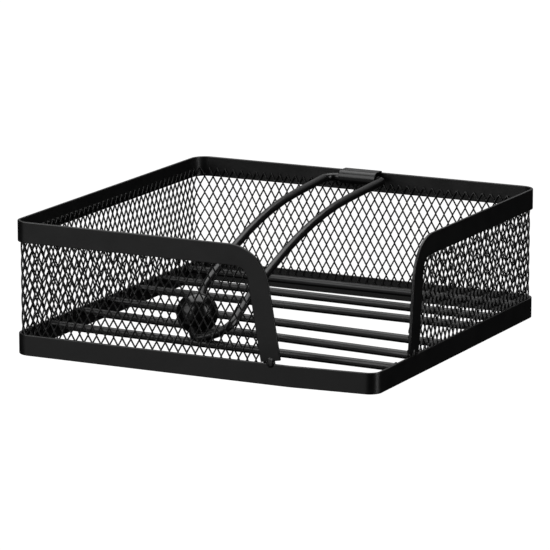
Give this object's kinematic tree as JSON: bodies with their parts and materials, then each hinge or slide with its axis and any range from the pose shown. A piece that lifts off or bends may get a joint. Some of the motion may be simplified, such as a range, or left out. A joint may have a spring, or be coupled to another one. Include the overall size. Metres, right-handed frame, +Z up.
{
  "type": "napkin dispenser",
  "caption": "Low square mesh tray for folded napkins, open at one corner, with a floor of rods and a hinged wire arm that carries a ball weight.",
  "frame": {"origin": "centre of the square footprint, at the height of the bottom band's underside", "axes": "+Z up, +Y towards the hinged back, +X to the right seen from the front; the open corner is at +X, -Y"},
  "size_m": [0.1905, 0.1919, 0.0657],
  "materials": {
    "black_powder_coat": "semi-matt black powder coat on steel",
    "gloss_black_ball": "glossy black coat on a steel ball"
  },
  "bodies": {
    "tray": {"bottom_band": "black_powder_coat", "top_rim": "black_powder_coat", "mesh_wall": "black_powder_coat", "floor_rod_1": "black_powder_coat", "floor_rod_2": "black_powder_coat", "floor_rod_3": "black_powder_coat", "floor_rod_4": "black_powder_coat", "floor_rod_5": "black_powder_coat", "floor_rod_6": "black_powder_coat", "rod_welds": "black_powder_coat", "leg_weld_front": "black_powder_coat", "leg_weld_right": "black_powder_coat", "band_seam_weld": "black_powder_coat", "hinge_sleeve": "black_powder_coat", "sleeve_welds": "black_powder_coat"},
    "arm": {"arm_wire": "black_powder_coat"},
    "ball": {"weight_ball": "gloss_black_ball"}
  },
  "joints": [
    {"name": "arm_swing", "type": "hinge", "parent": "tray", "child": "arm", "pos_m": [0, 0.0896, 0.06168], "axis": [-1, 0, 0], "range_deg": [0, 120]},
    {"name": "ball_turn", "type": "hinge", "parent": "arm", "child": "ball", "pos_m": [-0.01166, -0.06435, 0.02256], "axis": [0.176, -0.7527, -0.6344], "continuous": true}
  ]
}
